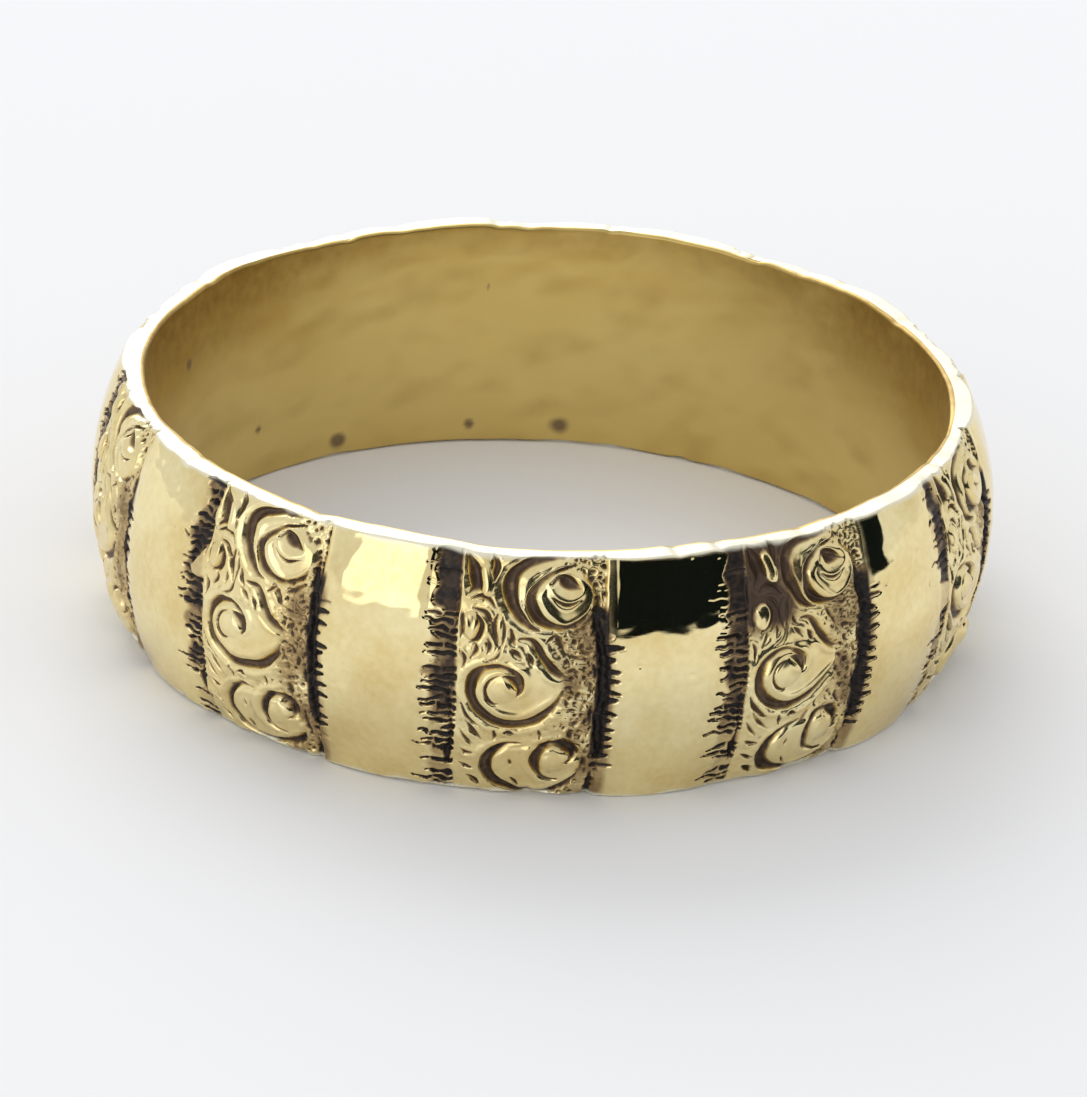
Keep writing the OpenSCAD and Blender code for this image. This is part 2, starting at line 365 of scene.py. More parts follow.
def relief(panel, u, v, base):
    """Height above the plain dome at each point, in millimetres, and three masks: how dark it
    is painted, with tarnish in the cuts and painted shade and painted dark reflection beside
    and around them, where the borders are and where the metal is satin, not polished. u runs
    along the crest from the panel's middle, v up the band, and base is the point on the
    plain dome."""
    seed = 100 * panel
    wander_u = u + 0.030 * ripples(base, 2.2, 11) + 0.010 * ripples(base, 0.6, 41)
    wander_v = v + 0.030 * ripples(base, 2.0, 12) + 0.010 * ripples(base, 0.5, 42)

    field = smoothstep(FIELD_IN - 0.06, FIELD_IN + 0.06, wander_u)
    field *= 1 - smoothstep(FIELD_OUT - 0.06, FIELD_OUT + 0.04, wander_u)
    cut, burr = engrave(wander_u, wander_v, TOP_SCROLL + MIDDLE_SCROLL + LOWER_SCROLL)
    leaf_cut, leaf_burr = engrave(wander_u, wander_v, LEAVES)
    line_cut, _ = engrave(wander_u, wander_v, BORDER_LINES)
    disc, swell = disc_share(wander_u, wander_v)
    cut = np.maximum(cut, leaf_cut)
    burr = np.maximum(burr, leaf_burr) * (1 - np.clip(cut / 0.02, 0, 1))

    # The ground is pressed down, more towards the right, and matted with two punches.
    to_right = smoothstep(0.2, 0.9, u)
    matting = 0.060 * punch_marks(u, v, 0.19, 0.085, seed + 1) * (0.12 + 0.88 * to_right)
    matting += 0.020 * punch_marks(u, v, 0.1, 0.05, seed + 2) * to_right
    matting *= field * (1 - disc) * np.exp(-(cut / 0.03) ** 2)
    rough = (0.003 + 0.007 * to_right) * ripples(base, 0.25, 13)
    rough += 0.012 * ripples(base, 0.55, 14)
    ground = (GROUND + 0.03 * to_right) * (1 - 0.9 * disc) + rough * (1 - 0.85 * disc)
    height = field * (swell - ground + burr) - matting

    # Borders: a ladder of stacked cuts on the left, a line and a comb on the right.
    column = smoothstep(LADDER_OUT + 0.06, LADDER_OUT + 0.28, wander_u
                        + 0.08 * ripples(base, 0.5, 43))
    column *= 1 - smoothstep(LADDER_IN - 0.08, LADDER_IN + 0.05, wander_u)
    facet = smoothstep(FACET_FROM, FACET_FROM + 0.2, wander_v) * (panel in FACETED)
    clusters = smoothstep(-0.75, -0.35, ripples(base, 1.1, 47) + 2 * (panel in FACETED))
    jitter_v = wander_v + 0.03 * ripples(base, 0.3, 46)
    rungs = stacked_cuts(wander_u, jitter_v, LADDER_IN, LADDER_OUT, RUNG_PITCH, seed + 3,
                         0.11, 0.1)
    rungs *= (1 - 0.85 * facet) * clusters
    column *= 0.3 + 0.7 * clusters
    step = STEP_DEPTH * np.exp(-((wander_v - STEP_AT) / 0.03) ** 2) * column
    comb = stacked_cuts(wander_u, wander_v, FIELD_OUT - 0.12, TOOTH_END, TOOTH_PITCH,
                        seed + 4, 0.05, 0.0, bridged=0)
    comb *= smoothstep(0.6, 1.0, wander_v) * (1 - smoothstep(3.7, 4.1, wander_v))
    shoulder = smoothstep(1.15, 1.35, wander_u) * (1 - smoothstep(1.55, 1.8, wander_u))
    height -= LADDER_DEPTH * column + RUNG_DEPTH * rungs + step
    height -= TOOTH_DEPTH * comb + SHOULDER_DEPTH * shoulder
    height -= np.maximum(cut, line_cut)
    height = ease_off(height)

    # Plain panels are pillows, with shallow dents from years of wear.
    place = np.where(u < CHASED_START / 2, u + PITCH, u)
    across = 2 * (place - PLAIN_START) / (PLAIN_END - PLAIN_START) - 1
    height -= PILLOW * np.clip(np.abs(across), 0, 1) ** 4
    wear = 0.011 * ripples(base, 3.2, 15) + 0.0042 * ripples(base, 1.0, 16)
    wear += 0.0016 * ripples(base, 0.36, 17)
    wear -= 0.012 * np.clip(punch_marks(u, v, 1.3, 0.16, seed + 5) - 0.2, 0, 1)

    steps = [max(1, round(0.05 / abs(d))) for d in (u[1, 0] - u[0, 0], DOME_STEP)]
    hollow = soften(height, steps) - height
    border = np.clip((0.6 + 0.4 * facet) * column + rungs + comb + 0.4 * shoulder
                     + 12 * line_cut, 0, 1)
    # Real tarnish and painted shade: the hollow measure darkens the cuts with brown and black
    # tarnish, and paints the slopes beside them ochre as shade.
    tarnish = smoothstep(0.004, 0.040, hollow + 0.006 * ripples(base, 0.35, 18) * field)
    tarnish = np.maximum(tarnish, 0.75 * smoothstep(0.02, 0.09, np.maximum(cut, line_cut)))
    patches = np.clip(0.5 + 0.4 * ripples(base, 0.7, 44), 0, 1)
    # Painted shade: an ochre-brown film, in patches, over the right of each field below its
    # top. On panel 1 a painted dark reflection darkens the top left of the field.
    painted_shade_film = 0.04 + 0.45 * to_right * patches * smoothstep(5.0, 4.2, v)
    if panel == 1:
        painted_shade_film += 0.75 * smoothstep(3.5, 4.1, v) * smoothstep(-0.1, -0.7, u) * (0.5 + patches)
    tarnish = np.maximum(tarnish, field * painted_shade_film * (1 - disc))
    # The ladder column: tarnish in its cuts with painted dark reflection, darker higher up. On
    # the plain facets at the top of the faceted panels' ladders it is painted almost black, a
    # painted dark reflection.
    packed = 0.35 + 0.65 * smoothstep(1.4, 2.4, v + 0.6 * ripples(base, 0.8, 45))
    tarnish = np.maximum(tarnish, column * (0.45 + 0.4 * patches) * np.maximum(packed, facet))
    tarnish = np.maximum(tarnish, 0.9 * facet * column)
    tarnish = np.maximum(tarnish, smoothstep(0.1, 0.5, rungs))
    tarnish = np.maximum(tarnish, smoothstep(0.1, 0.5, comb))
    tarnish = np.maximum(tarnish, smoothstep(0.01, 0.07, line_cut))
    groove = smoothstep(0.20, 0.11, np.abs(wander_u - GROOVE_AT * DEGREE))
    groove *= smoothstep(1.0, 1.2, v) * smoothstep(4.6, 4.3, v)
    tarnish = np.maximum(tarnish, 0.95 * groove)
    border = np.clip(border + groove + 9 * cut * smoothstep(1.7, 1.2, v), 0, 1)
    # Painted shade: brown, in patches, over the pressed shoulder beside the comb, below the
    # top.
    tarnish = np.maximum(tarnish, shoulder * (0.15 + 0.4 * patches) * smoothstep(4.4, 4, v))
    satin = np.clip(field * (1 - 0.25 * disc) + column + shoulder, 0, 1)
    return height + wear, np.clip(tarnish, 0, 1), border, satin


# ---------------------------------------------------------------- rims and cross-sections
def rim_wave(angle, seed):
    """How far a rim stands in from the band's full width, in millimetres, never outside it:
    a dip at each chased panel, low waves all round that wear has left, and some nicks."""
    draw = np.random.default_rng(seed)
    total = np.zeros_like(angle)
    for turns, size in ((3, 0.4), (7, 0.6), (10, 1.0), (17, 0.7), (23, 0.5), (41, 0.35)):
        total += size * np.sin(turns * angle + draw.uniform(0, 2 * np.pi))
    dips = 0.5 + 0.5 * np.cos(PANELS * angle + 0.3)
    nicks = np.zeros_like(angle)
    for place, width, depth in zip(draw.uniform(0, 2 * np.pi, 26),
                                   draw.uniform(0.010, 0.030, 26),
                                   draw.uniform(0.01, 0.045, 26)):
        away = (angle - place + np.pi) % (2 * np.pi) - np.pi
        nicks += depth * np.exp(-(away / width) ** 2)
    return 0.040 * dips + 0.045 * (0.5 + 0.5 * np.tanh(total)) + np.clip(nicks, 0, 0.06)


def bend_to_rims(angle, z):
    """The height of a point once the rims' waves have moved it: the waves fade towards the
    middle of the band with the fourth power of the height."""
    share = np.clip(z / BAND_W, 0, 1)
    return z + rim_wave(angle, 21) * (1 - share) ** 4 - rim_wave(angle, 22) * share ** 4


def outer_section():
    """The outline of the shell's outside, from the lower lip's inner corner to the
    upper's: radius, height, and how much of the relief each point takes."""
    round_r = ARC_R + math.sqrt((DOME_R - RIM_ROUND) ** 2 - (MID_Z - RIM_ROUND) ** 2)
    round_end = -math.asin((MID_Z - RIM_ROUND) / (DOME_R - RIM_ROUND))
    face = np.linspace(0, 1, RIM_ROWS, endpoint=False)
    face_r = LINING_R + face * (round_r - LINING_R)
    corner = np.linspace(-math.pi / 2, round_end, ROUND_ROWS, endpoint=False)
    corner_r = round_r + RIM_ROUND * np.cos(corner)
    corner_z = RIM_ROUND + RIM_ROUND * np.sin(corner)
    dome = np.linspace(round_end, -round_end, DOME_ROWS + 1)
    dome_r, dome_z = ARC_R + DOME_R * np.cos(dome), MID_Z + DOME_R * np.sin(dome)
    radius = np.concatenate([face_r, corner_r, dome_r, corner_r[::-1], face_r[::-1]])
    lower_z = np.concatenate([face * 0, corner_z])
    height = np.concatenate([lower_z, dome_z, BAND_W - lower_z[::-1]])
    takes = np.concatenate([face, corner_r * 0 + 1, dome_r * 0 + 1, corner_r * 0 + 1,
                            face[::-1]])
    return radius, height, takes


def inner_section(count):
    """The shell's hidden side in count points: up the lower lip, out along the core's rim,
    over the core's dome, and back down the upper lip."""
    lip = 0.5 * LIP_T
    core_r = DOME_R - SHELL_T
    end = math.asin((MID_Z - LIP_T) / core_r)
    dome = np.linspace(-end, end, count - 4)
    radius = np.concatenate([[LINING_R] * 2, ARC_R + core_r * np.cos(dome), [LINING_R] * 2])
    height = np.concatenate([[lip, LIP_T], MID_Z + core_r * np.sin(dome),
                             [BAND_W - LIP_T, BAND_W - lip]])
    return radius, height


# ---------------------------------------------------------------- meshes
def make_piece(name, points, quads, triangles, material):
    """A mesh object at the origin from points in millimetres and index arrays, smooth all
    over, riding on the one body."""
    mesh = bpy.data.meshes.new(name)
    mesh.vertices.add(len(points))
    mesh.vertices.foreach_set("co", (points * MM).astype(np.float32).ravel())
    corners = np.concatenate([quads.ravel(), triangles.ravel()]).astype(np.int32)
    starts = np.concatenate([np.arange(len(quads)) * 4,
                             len(quads) * 4 + np.arange(len(triangles)) * 3])
    mesh.loops.add(len(corners))
    mesh.loops.foreach_set("vertex_index", corners)
    mesh.polygons.add(len(starts))
    mesh.polygons.foreach_set("loop_start", starts.astype(np.int32))
    mesh.update(calc_edges=True)
    mesh.polygons.foreach_set("use_smooth", np.ones(len(starts), bool))
    mesh.validate()
    piece = bpy.data.objects.new(name, mesh)
    bpy.context.scene.collection.objects.link(piece)
    mesh.materials.append(material)
    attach(piece, "root")
    return piece


def point_attribute(piece, name, values):
    """Stores one number for each point of the piece, for its material to read."""
    attribute = piece.data.attributes.new(name, "FLOAT", "POINT")
    attribute.data.foreach_set("value", values.astype(np.float32).ravel())


def surface_map(piece, along, up):
    """A UV map named band, with distances along and up the surface in centimetres."""
    corners = np.zeros(len(piece.data.loops), np.int32)
    piece.data.loops.foreach_get("vertex_index", corners)
    places = np.stack([along.ravel(), up.ravel()], -1)[corners] / 10
    layer = piece.data.uv_layers.new(name="band")
    layer.data.foreach_set("uv", places.astype(np.float32).ravel())


def crease(piece, *rims):
    """Marks as sharp the edges that run along any of the rows of points given."""
    mesh = piece.data
    ends = np.zeros(len(mesh.edges) * 2, np.int32)
    mesh.edges.foreach_get("vertices", ends)
    ends = ends.reshape(-1, 2)
    sharp = np.zeros(len(ends), bool)
    for rim in rims:
        member = np.zeros(len(mesh.vertices), bool)
        member[rim] = True
        sharp |= member[ends].all(1)
    attribute = mesh.attributes.new("sharp_edge", "BOOLEAN", "EDGE")
    attribute.data.foreach_set("value", sharp)


def grid_quads(index):
    """Quads over a 2D array of point numbers."""
    return np.stack([index[:-1, :-1], index[1:, :-1], index[1:, 1:], index[:-1, 1:]],
                    -1).reshape(-1, 4)


def zip_rows(fine, coarse):
    """Triangles between two rows of points that run side by side, where the first has FINE
    steps for each of the second's."""
    step = np.arange(len(fine) - 1)
    fans = np.stack([fine[:-1], fine[1:], coarse[(step + FINE // 2) // FINE]], -1)
    middle = fine[np.arange(len(coarse) - 1) * FINE + FINE // 2]
    links = np.stack([middle, coarse[1:], coarse[:-1]], -1)
    return np.concatenate([fans, links])


def on_band(angle, radius, z):
    """Points at an angle round from the front, with +X to the right."""
    return np.stack([radius * np.sin(angle), -radius * np.cos(angle), z + 0 * angle], -1)


def shell_sector(name, panel, start, end, columns, material):
    """A closed piece of the outer shell: the fine outside follows the relief, the coarse
    inside follows the core, and four strips of triangles join them all round."""
    radius, height, takes = outer_section()
    u = np.linspace(start, end, columns + 1)[:, None] + 0 * radius
    v = height[None, :] + 0 * u
    turn = 2 * math.pi * panel / PANELS
    angle = turn + u / CREST_R
    base = on_band(angle, radius[None, :] + 0 * u, v)
    lift, tarnish, border, satin = relief(panel, u, v, base)
    first, last = RIM_ROWS, len(radius) - 1 - RIM_ROWS
    lift[:, :first] = lift[:, first:first + 1]
    lift[:, last + 1:] = lift[:, last:last + 1]
    level = takes[None, :]
    tarnish *= smoothstep(0.2, 0.9, level)
    outside = on_band(angle, radius + lift * level, bend_to_rims(angle, v))

    back_r, back_z = inner_section((len(radius) - 1) // FINE + 1)
    back_u = np.linspace(start, end, columns // FINE + 1)[:, None] + 0 * back_r
    back_angle = turn + back_u / CREST_R
    inside = on_band(back_angle, back_r + 0 * back_u, back_z + 0 * back_u)

    front = np.arange(outside[..., 0].size).reshape(outside.shape[:2])
    back = np.arange(inside[..., 0].size).reshape(inside.shape[:2]) + front.size
    points = np.concatenate([outside.reshape(-1, 3), inside.reshape(-1, 3)])
    quads = np.concatenate([grid_quads(front), grid_quads(back)[:, ::-1]])
    triangles = np.concatenate([
        zip_rows(front[0], back[0])[:, ::-1],
        zip_rows(front[-1], back[-1]),
        zip_rows(front[:, 0], back[:, 0]),
        zip_rows(front[:, -1], back[:, -1])[:, ::-1],
    ])
    piece = make_piece(name, points, quads, triangles, material)
    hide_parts("outer_gold_shell")
    crease(piece, front[0], front[-1], front[:, 0], front[:, -1])
    hidden = np.zeros(back.size)
    # The rim bands, which the material paints paler as a painted highlight and makes rougher.
    rim = 1 - smoothstep(0, 0.10, np.minimum(v, BAND_W - v) - 0.03 * ripples(base, 0.8, 48))
    point_attribute(piece, "rim", np.concatenate([rim.ravel(), hidden]))
    point_attribute(piece, "tarnish", np.concatenate([tarnish.ravel(), hidden]))
    point_attribute(piece, "border", np.concatenate([border.ravel(), hidden]))
    point_attribute(piece, "satin", np.concatenate([satin.ravel(), hidden]))
    section = np.concatenate([[0], np.hypot(np.diff(radius), np.diff(height)).cumsum()])
    along = np.concatenate([(turn * CREST_R + u).ravel(), back_u.ravel()])
    up = np.concatenate([(section + 0 * u).ravel(), back_z.repeat(len(back_u))])
    surface_map(piece, along, up)
    return piece


def finger_lining(material, columns=900, rows=60):
    """The gold lining, a closed ring: a loop of points round its wall, carried round the
    finger axis. Its inside is worn into faint waves, and it follows the rims' waves."""
    turn = np.linspace(-math.pi / 2, 0, 7)
    round_r = BORE_R + FINGER_ROUND
    inside_z = np.linspace(BAND_W - FINGER_ROUND, FINGER_ROUND, rows)
    top = (BAND_W - FINGER_ROUND - FINGER_ROUND * np.sin(turn))[:-1]
    radius = np.concatenate([
        [LINING_R, LINING_R, LINING_R],
        (round_r - FINGER_ROUND * np.cos(turn))[:-1],
        np.full(rows, BORE_R),
        (round_r - FINGER_ROUND * np.cos(turn))[:-1][::-1],
    ])
    height = np.concatenate([[0, MID_Z, BAND_W], top, inside_z, BAND_W - top[::-1]])
    angle = np.linspace(0, 2 * math.pi, columns, endpoint=False)[:, None] + 0 * radius
    flat = on_band(angle, radius + 0 * angle, height + 0 * angle)
    worn = (radius < round_r)[None, :] * (
        0.014 * ripples(flat, 3.6, 31) + 0.005 * ripples(flat * (1, 1, 2), 1.3, 32))
    points = on_band(angle, radius + worn, bend_to_rims(angle, height + 0 * angle))
    index = np.arange(points[..., 0].size).reshape(points.shape[:2])
    closed = np.vstack([index, index[:1]])
    closed = np.hstack([closed, closed[:, :1]])
    piece = make_piece("finger_lining", points.reshape(-1, 3), grid_quads(closed),
                       np.zeros((0, 3), int), material)
    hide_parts("inner_gold_lining")
    crease(piece, index[:, 0], index[:, 2])
    near_rim = np.minimum(height, BAND_W - height)[None, :] + 0 * angle
    from_top = (BAND_W - height)[None, :] + 0 * angle
    # Painted shade: browner towards the upper rim, reaching further down and darker at the left
    # and right sides, and a little darker near both rims. The streaks are real stains.
    sides = smoothstep(0.35, 0.95, np.abs(np.sin(angle)))
    streaks = ripples(flat * (1, 1, 2), 2.6, 33) + 0.7 * ripples(flat * (1, 1, 1.6), 1.0, 35)
    stain = smoothstep(0.9 + 2.2 * sides, 0.1, from_top + 0.4 * streaks) * (0.35 + 0.5 * sides)
    stain += 0.11 * streaks + 0.10 * smoothstep(0.8, 0.1, near_rim)
    point_attribute(piece, "stain", np.clip(stain, 0, 1).ravel())
    spots = np.zeros_like(angle)
    for degrees, z, size in INSIDE_SPOTS:
        along = np.abs((angle - math.radians(degrees) + math.pi) % (2 * math.pi) - math.pi)
        ragged = 1 + 0.18 * ripples(flat, 0.5, 34)
        out = np.hypot(along * BORE_R, height + 0 * angle - z) / (size * ragged)
        spots = np.maximum(spots, 1 - smoothstep(0.3, 1.3, out))
    point_attribute(piece, "spots", spots.ravel())
    return piece


# ---------------------------------------------------------------- materials
def node(tree, kind, at, **settings):
    """A new shader node, placed in the tree, with the settings given."""
    made = tree.nodes.new(kind)
    made.location = at
    for name, value in settings.items():
        setattr(made, name, value)
    return made


def fine_scratches():
    """A node group: hair scratches that run round the band, and a fine grain. It puts out
    their height and a mask of where they are thick."""
    group = bpy.data.node_groups.new("fine scratches", "ShaderNodeTree")
    group.interface.new_socket("Vector", in_out="INPUT", socket_type="NodeSocketVector")
    group.interface.new_socket("Density", in_out="INPUT", socket_type="NodeSocketFloat")
    group.interface.new_socket("Height", in_out="OUTPUT", socket_type="NodeSocketFloat")
    group.interface.new_socket("Mask", in_out="OUTPUT", socket_type="NodeSocketFloat")
    start = node(group, "NodeGroupInput", (-900, 0))
    end = node(group, "NodeGroupOutput", (500, 0))
    heights = []
    for at, turn, stretch, scale in ((200, 0.04, 14, 60.0), (-100, -0.35, 10, 42.0)):
        place = node(group, "ShaderNodeMapping", (-700, at))
        place.inputs["Rotation"].default_value = (0, 0, turn)
        place.inputs["Scale"].default_value = (1, stretch, 1)
        noise = node(group, "ShaderNodeTexNoise", (-480, at))
        noise.inputs["Scale"].default_value = scale
        noise.inputs["Detail"].default_value = 4
        noise.inputs["Roughness"].default_value = 0.65
        group.links.new(start.outputs["Vector"], place.inputs["Vector"])
        group.links.new(place.outputs["Vector"], noise.inputs["Vector"])
        heights.append(noise.outputs["Fac"])
    both = node(group, "ShaderNodeMath", (-200, 100), operation="MULTIPLY")
    group.links.new(heights[0], both.inputs[0])
    group.links.new(heights[1], both.inputs[1])
    mask = node(group, "ShaderNodeMapRange", (0, -100))
    mask.inputs["From Min"].default_value = 0.2
    mask.inputs["From Max"].default_value = 0.36
    group.links.new(both.outputs[0], mask.inputs["Value"])
    dense = node(group, "ShaderNodeMath", (250, -100), operation="MULTIPLY")
    group.links.new(mask.outputs["Result"], dense.inputs[0])
    group.links.new(start.outputs["Density"], dense.inputs[1])
    group.links.new(both.outputs[0], end.inputs["Height"])
    group.links.new(dense.outputs[0], end.inputs["Mask"])
    return group


def mottling():
    """A node group: soft patches and a finer grain, as noise values, at the size given in
    inputs.
    """
    group = bpy.data.node_groups.new("mottling", "ShaderNodeTree")
    group.interface.new_socket("Vector", in_out="INPUT", socket_type="NodeSocketVector")
    group.interface.new_socket("Scale", in_out="INPUT", socket_type="NodeSocketFloat")
    group.interface.new_socket("Patches", in_out="OUTPUT", socket_type="NodeSocketFloat")
    group.interface.new_socket("Grain", in_out="OUTPUT", socket_type="NodeSocketFloat")
    start = node(group, "NodeGroupInput", (-700, 0))
    end = node(group, "NodeGroupOutput", (300, 0))
    for at, factor, output in ((150, 1.0, "Patches"), (-150, 9.0, "Grain")):
        scale = node(group, "ShaderNodeMath", (-480, at), operation="MULTIPLY")
        scale.inputs[1].default_value = factor
        noise = node(group, "ShaderNodeTexNoise", (-250, at))
        noise.inputs["Detail"].default_value = 5
        group.links.new(start.outputs["Scale"], scale.inputs[0])
        group.links.new(scale.outputs[0], noise.inputs["Scale"])
        group.links.new(start.outputs["Vector"], noise.inputs["Vector"])
        group.links.new(noise.outputs["Fac"], end.inputs[output])
    return group


def mix_colour(tree, at, factor, first, second):
    """A Mix node for colours: each input is a socket or a plain value."""
    mix = node(tree, "ShaderNodeMix", at, data_type="RGBA")
    for socket, value in ((mix.inputs[0], factor), (mix.inputs[6], first),
                          (mix.inputs[7], second)):
        if isinstance(value, bpy.types.NodeSocket):
            tree.links.new(value, socket)
        else:
            socket.default_value = value
    return mix.outputs[2]


def ramp(tree, at, value, low, high, out_low, out_high):
    """A Map Range node from low..high to out_low..out_high, held at its ends."""
    made = node(tree, "ShaderNodeMapRange", at)
    for name, number in (("From Min", low), ("From Max", high), ("To Min", out_low),
                         ("To Max", out_high)):
        made.inputs[name].default_value = number
    tree.links.new(value, made.inputs["Value"])
    return made.outputs["Result"]


def sums(tree, at, operation, first, second):
    """A Math node on two sockets or numbers."""
    made = node(tree, "ShaderNodeMath", at, operation=operation)
    for socket, value in zip(made.inputs, (first, second)):
        if isinstance(value, bpy.types.NodeSocket):
            tree.links.new(value, socket)
        else:
            socket.default_value = value
    return made.outputs[0]


def start_material(name):
    """A new material with its tree, shader and the two shared groups already placed."""
    material = bpy.data.materials.new(name)
    material.use_nodes = True
    tree = material.node_tree
    shader = tree.nodes["Principled BSDF"]
    place = node(tree, "ShaderNodeTexCoord", (-1300, -200))
    band = node(tree, "ShaderNodeUVMap", (-1300, 100), uv_map="band")
    scratches = node(tree, "ShaderNodeGroup", (-1000, 100), node_tree=SCRATCHES)
    tree.links.new(band.outputs["UV"], scratches.inputs["Vector"])
    scratches.inputs["Density"].default_value = 1
    patches = node(tree, "ShaderNodeGroup", (-1000, -200), node_tree=MOTTLING)
    tree.links.new(place.outputs["Object"], patches.inputs["Vector"])
    return material, tree, shader, scratches, patches


def mask_attribute(tree, at, name):
    """The value of one of the piece's stored attributes."""
    return node(tree, "ShaderNodeAttribute", at, attribute_name=name).outputs["Fac"]


def scratch_bump(tree, scratches, shader, strength, distance):
    """Lets the fine scratches tilt the shader's normal."""
    bump = node(tree, "ShaderNodeBump", (-150, -400))
    bump.inputs["Strength"].default_value = strength
    bump.inputs["Distance"].default_value = distance
    tree.links.new(scratches.outputs["Height"], bump.inputs["Height"])
    tree.links.new(bump.outputs["Normal"], shader.inputs["Normal"])


def chased_gold():
    """Pale burnished gold. On the rims it is painted paler and less metallic, a painted
    highlight, and made rougher for wear. As the stored darkening rises it takes an ochre
    colour, painted shade, then goes brown with tarnish and painted shade, and black in the
    borders."""
    material, tree, shader, scratches, patches = start_material("chased gold")
    patches.inputs["Scale"].default_value = 700
    tarnish = mask_attribute(tree, (-1000, 500), "tarnish")
    border = mask_attribute(tree, (-1000, 350), "border")
    worn = sums(tree, (-800, 0), "ADD", ramp(tree, (-900, 50), patches.outputs["Patches"],
                                             0.35, 0.65, 0, 0.7),
                ramp(tree, (-900, -50), patches.outputs["Grain"], 0.35, 0.65, 0, 0.3))
    gold = mix_colour(tree, (-600, 0), worn, GOLD_LIGHT, GOLD_DEEP)
    grain = ramp(tree, (-700, 400), patches.outputs["Grain"], 0.3, 0.7, -0.18, 0.18)
    tarnish_and_shade_level = sums(tree, (-500, 500), "ADD", tarnish, sums(tree, (-600, 350), "MULTIPLY",
                                                      grain, tarnish))
    # The ochre step is painted shade; the brown and black steps are tarnish mixed with painted
    # shade and painted dark reflection.
    painted_shade_film = mix_colour(tree, (-400, 200), ramp(tree, (-500, 250), tarnish_and_shade_level, 0.04, 0.34, 0, 1),
                      gold, OCHRE_SHADE)
    brown = mix_colour(tree, (-250, 200), ramp(tree, (-500, 400), tarnish_and_shade_level, 0.30, 0.75, 0, 1),
                       painted_shade_film, TARNISH_AND_SHADE_BROWN)
    deep = sums(tree, (-350, 500), "MULTIPLY", ramp(tree, (-500, 650), tarnish_and_shade_level, 0.55, 0.95, 0, 1),
                ramp(tree, (-500, 800), border, 0.1, 0.6, 0.35, 1))
    black = mix_colour(tree, (-150, 350), deep, brown, TARNISH_AND_REFLECTION_BLACK)
    # Painted highlight: the rims are painted paler and less metallic; their extra roughness
    # stands for wear.
    rim = mask_attribute(tree, (-500, 950), "rim")
    colour = mix_colour(tree, (-50, 200), ramp(tree, (-300, 950), rim, 0, 1, 0, 0.9), black,
                        RIM_HIGHLIGHT_GOLD)
    tree.links.new(colour, shader.inputs["Base Color"])
    metal = sums(tree, (-50, 0), "MINIMUM", ramp(tree, (-150, 0), tarnish_and_shade_level, 0.4, 0.9, 1.0, 0.5),
                 ramp(tree, (-150, 100), rim, 0, 1, 1.0, 0.55))
    tree.links.new(metal, shader.inputs["Metallic"])
    satin = mask_attribute(tree, (-700, -150), "satin")
    rough = sums(tree, (-250, -150), "ADD", ramp(tree, (-350, -150), tarnish_and_shade_level, 0.1, 0.8, 0, 0.24),
                 ramp(tree, (-500, -150), satin, 0, 1, PLAIN_ROUGHNESS, SATIN_ROUGHNESS))
    rough = sums(tree, (-150, -150), "ADD", rough,
                 ramp(tree, (-350, -350), scratches.outputs["Mask"], 0, 1, 0, 0.04))
    rough = sums(tree, (-50, -150), "MAXIMUM", rough,
                 ramp(tree, (-150, -250), rim, 0, 1, 0, 0.42))
    tree.links.new(rough, shader.inputs["Roughness"])
    scratch_bump(tree, scratches, shader, 0.04, 0.00001)
    return material


def worn_gold():
    """The finger side: satin gold with streaks of stain and dark spots, and painted shade:
    browner below the upper rim, most at the left and right sides.
    """
    material, tree, shader, scratches, patches = start_material("worn gold")
    patches.inputs["Scale"].default_value = 420
    stain = mask_attribute(tree, (-1000, 500), "stain")
    spots = mask_attribute(tree, (-1000, 350), "spots")
    gold = mix_colour(tree, (-600, 0), patches.outputs["Patches"], WORN_LIGHT, WORN_DEEP)
    grain = ramp(tree, (-700, 400), patches.outputs["Grain"], 0.3, 0.7, 0.8, 1.2)
    stain_and_shade_level = sums(tree, (-550, 400), "MULTIPLY", stain, grain)
    brown = mix_colour(tree, (-350, 200), ramp(tree, (-500, 250), stain_and_shade_level, 0.0, 1.0, 0, 0.9),
                       gold, STAIN_SHADE_BROWN)
    colour = mix_colour(tree, (-150, 200), ramp(tree, (-350, 400), spots, 0.1, 0.9, 0, 0.85),
                        brown, TARNISH_AND_SHADE_BROWN)
    tree.links.new(colour, shader.inputs["Base Color"])
    tree.links.new(ramp(tree, (-150, 0), spots, 0.1, 0.9, 1.0, 0.4), shader.inputs["Metallic"])
    rough = sums(tree, (-150, -150), "ADD", ramp(tree, (-350, -150), stain_and_shade_level, 0, 1, 0.30, 0.42),
                 ramp(tree, (-350, -350), scratches.outputs["Mask"], 0, 1, 0, 0.12))
    tree.links.new(rough, shader.inputs["Roughness"])
    scratch_bump(tree, scratches, shader, 0.3, 0.00002)
    return material


